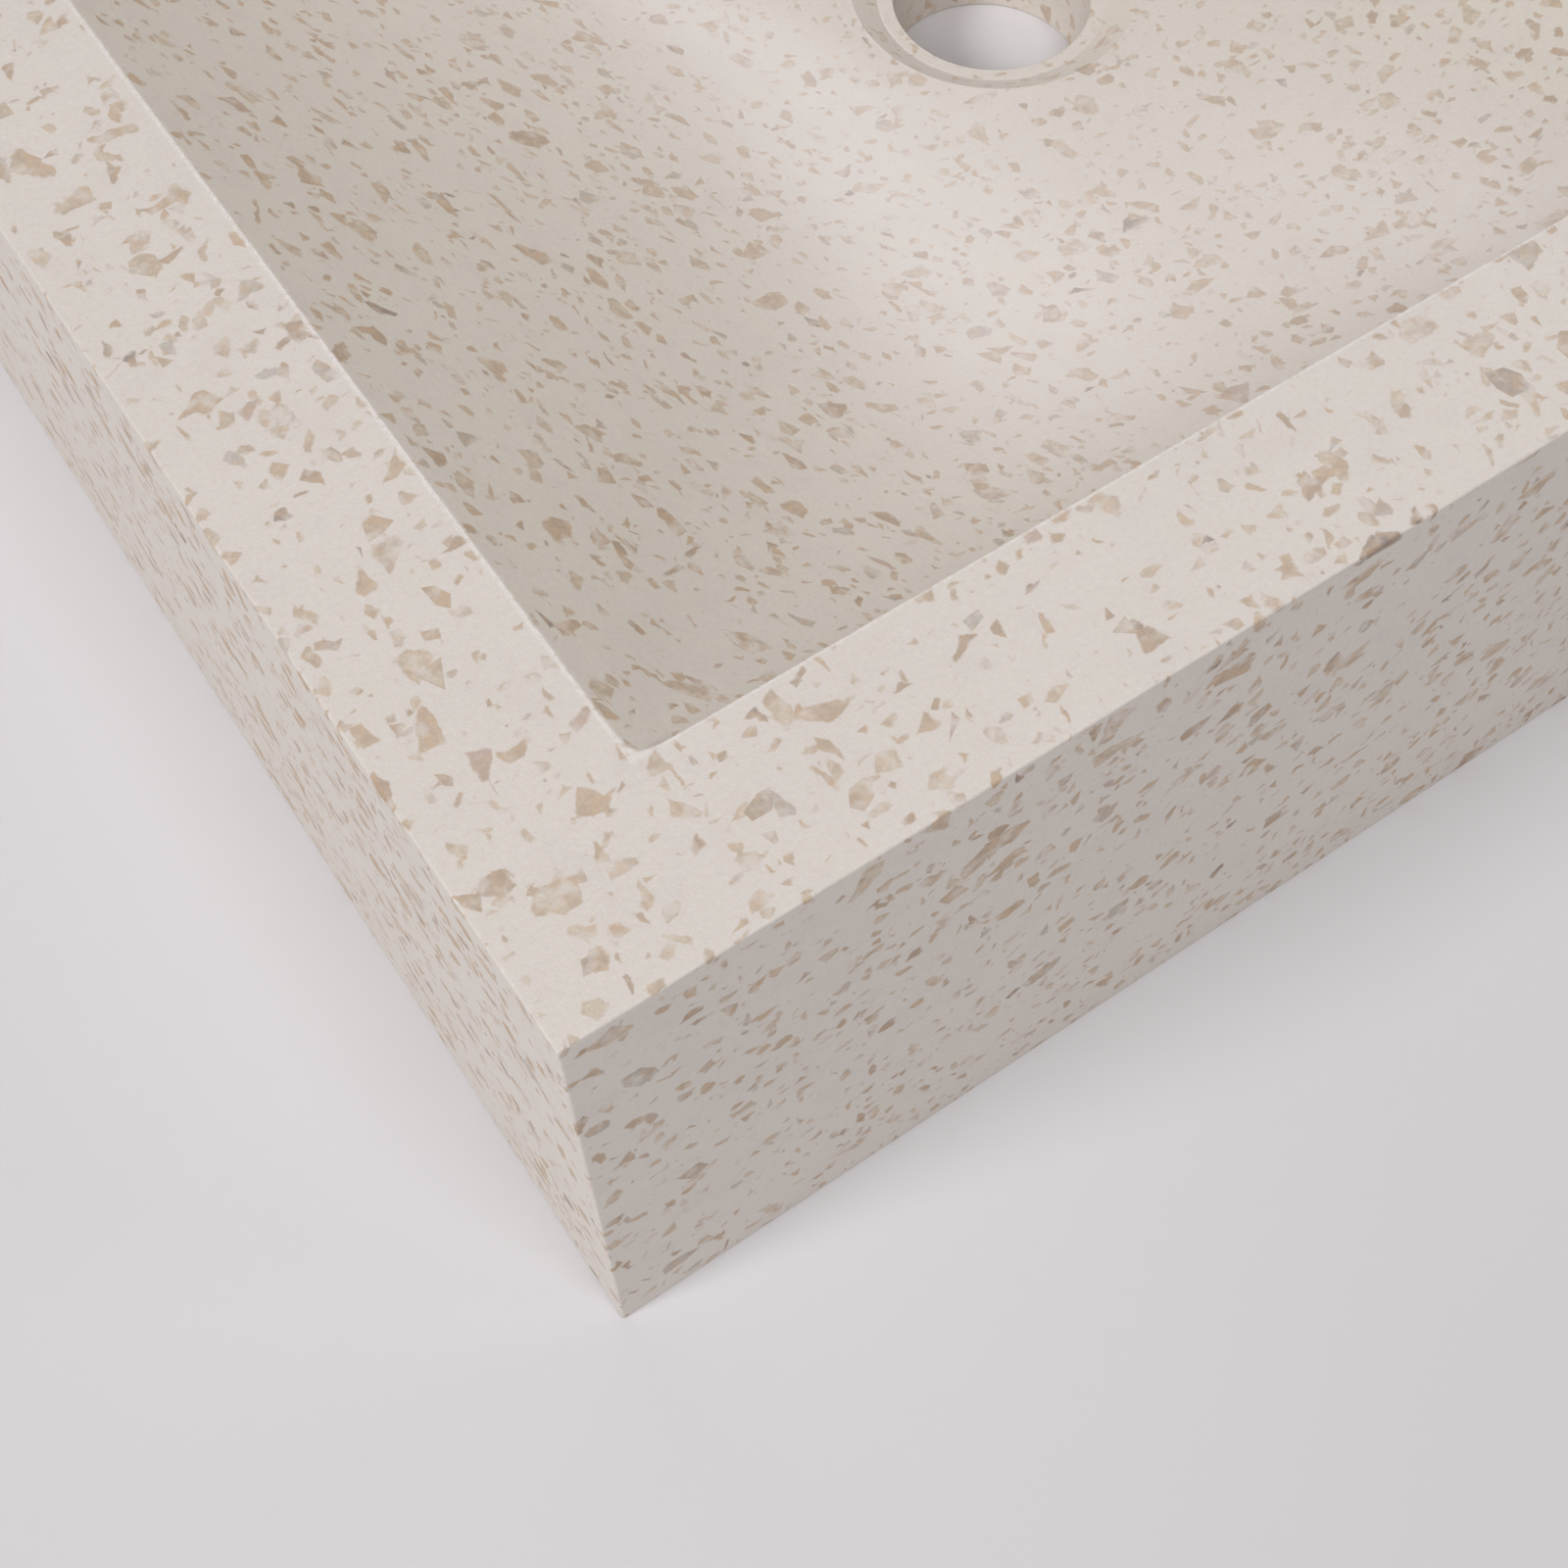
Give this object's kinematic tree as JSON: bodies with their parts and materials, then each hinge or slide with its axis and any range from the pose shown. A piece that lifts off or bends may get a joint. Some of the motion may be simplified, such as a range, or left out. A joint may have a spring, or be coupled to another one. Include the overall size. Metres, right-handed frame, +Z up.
{
  "type": "countertop basin",
  "caption": "Rectangular cast terrazzo countertop basin with a flat rim, a dished bowl, an open recessed drain hole and marble chips ground flush in its faces.",
  "frame": {"origin": "middle of the underside, on the axis of the drain hole", "axes": "+X to the right along the long front, +Y from front to back, +Z up"},
  "size_m": [0.45, 0.4, 0.12],
  "materials": {
    "binder": "white cement terrazzo, ground and honed, satin in the bowl",
    "cream_marble": "honed",
    "tan_marble": "honed",
    "brown_marble": "honed",
    "grey_marble": "honed",
    "rose_marble": "honed",
    "dark_marble": "honed",
    "wire": "galvanised"
  },
  "bodies": {
    "root": {"basin_body": "binder", "cream_chips": "cream_marble", "tan_chips": "tan_marble", "brown_chips": "brown_marble", "grey_chips": "grey_marble", "rose_chips": "rose_marble", "dark_chips": "dark_marble", "rim_hoop": "wire", "foot_hoop": "wire", "wall_stays": "wire", "long_mesh_wires": "wire", "cross_mesh_wires": "wire"}
  },
  "joints": []
}
